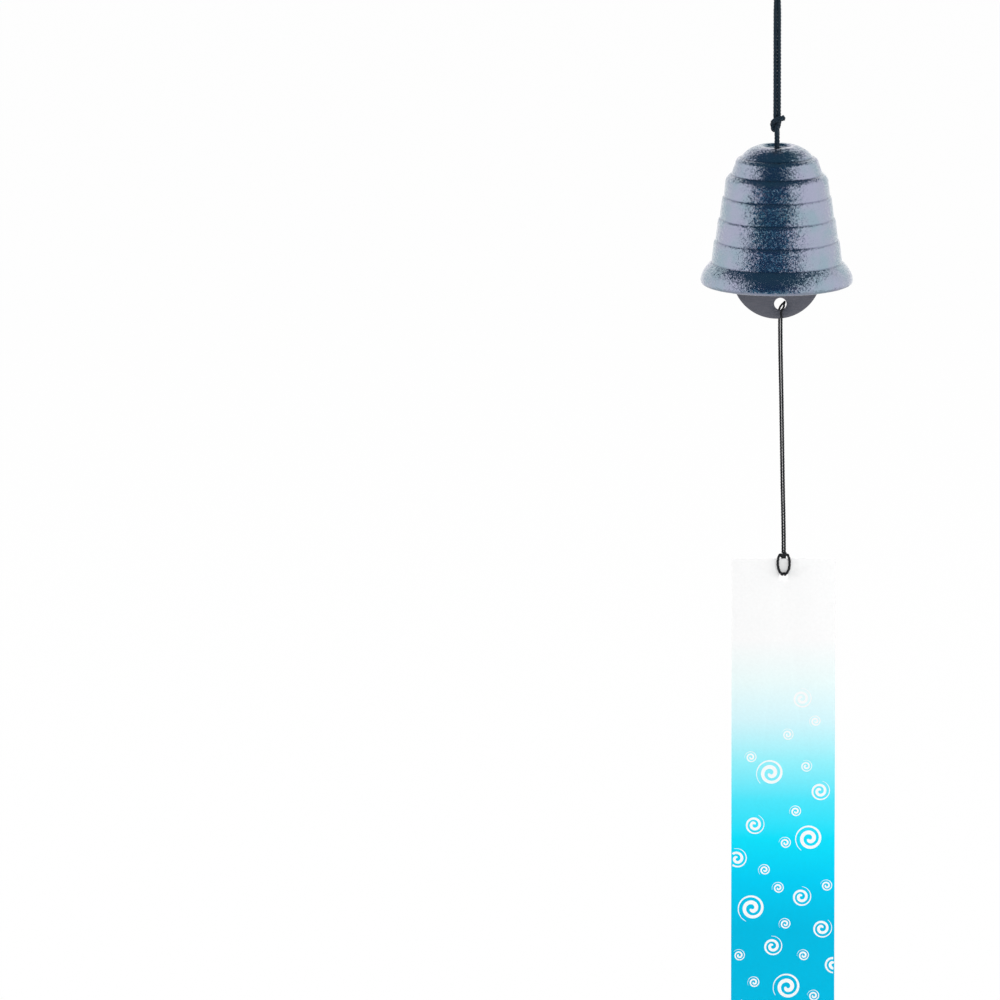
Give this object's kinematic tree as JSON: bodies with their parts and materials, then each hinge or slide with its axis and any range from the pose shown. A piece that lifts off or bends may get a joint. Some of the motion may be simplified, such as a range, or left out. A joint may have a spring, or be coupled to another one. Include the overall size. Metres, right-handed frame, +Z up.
{
  "type": "wind bell",
  "caption": "Cast wind bell with stepped tiers on a doubled cord, with a round plate clapper inside and a paper strip hung below that catches the wind.",
  "frame": {"origin": "inside top of the loop of the hanging cord, where it rests on its hook", "axes": "+Z up along the cord, +X to the right and +Y to the back as seen facing the paper strip"},
  "size_m": [0.066, 0.066, 0.4716],
  "materials": {
    "casting": "dark blue-black satin paint over sand-cast grain",
    "plate": "smooth dark grey satin",
    "braid": "black and navy braided cord",
    "thread": "twisted black cord",
    "paper": "matt card, white at the top fading to blue, with white curls"
  },
  "bodies": {
    "hook_loop": {"loop_bight": "braid"},
    "hanging_cord": {"loop_strand_left": "braid", "loop_strand_right": "braid", "hanging_knot": "braid"},
    "stem": {"stem_strand_front": "braid", "stem_strand_back": "braid"},
    "stop_knot": {"stop_knot": "braid"},
    "bell": {"bell": "casting"},
    "clapper": {"clapper_disc": "plate", "clapper_bight": "braid", "clapper_strand_front": "braid", "clapper_strand_back": "braid"},
    "strip_cord": {"strip_bight": "thread", "strip_strand_front": "thread", "strip_strand_back": "thread"},
    "strip_knot": {"strip_knot": "thread"},
    "strip": {"strip_loop_left": "thread", "strip_loop_right": "thread", "paper_strip": "paper"}
  },
  "joints": [
    {"name": "loop_swing", "type": "hinge", "parent": "hook_loop", "child": "hanging_cord", "pos_m": [0, 0, -0.01265], "axis": [1, 0, 0], "range_deg": [-45, 45]},
    {"name": "bell_swing", "type": "hinge", "parent": "hanging_cord", "child": "stem", "pos_m": [0, 0, -0.074], "axis": [0, 1, 0], "range_deg": [-45, 45]},
    {"name": "cord_twist", "type": "hinge", "parent": "stem", "child": "stop_knot", "pos_m": [0, 0, -0.0823], "axis": [0, 0, 1], "range_deg": [-180, 180]},
    {"name": "bell_spin", "type": "hinge", "parent": "stop_knot", "child": "bell", "pos_m": [0, 0, -0.082], "axis": [0, 0, 1], "continuous": true},
    {"name": "clapper_swing", "type": "hinge", "parent": "stop_knot", "child": "clapper", "pos_m": [0, 0, -0.0896], "axis": [0, 1, 0], "range_deg": [-8.4, 8.4]},
    {"name": "strip_cord_swing", "type": "hinge", "parent": "clapper", "child": "strip_cord", "pos_m": [0.0033, 0, -0.1467], "axis": [0, 1, 0], "range_deg": [-40, 40]},
    {"name": "strip_turn", "type": "hinge", "parent": "strip_cord", "child": "strip_knot", "pos_m": [0.0033, 0, -0.25835], "axis": [0, 0, 1], "range_deg": [-180, 180]},
    {"name": "strip_flap", "type": "hinge", "parent": "strip_knot", "child": "strip", "pos_m": [0.0033, 0, -0.25835], "axis": [1, 0, 0], "range_deg": [-60, 60]}
  ]
}
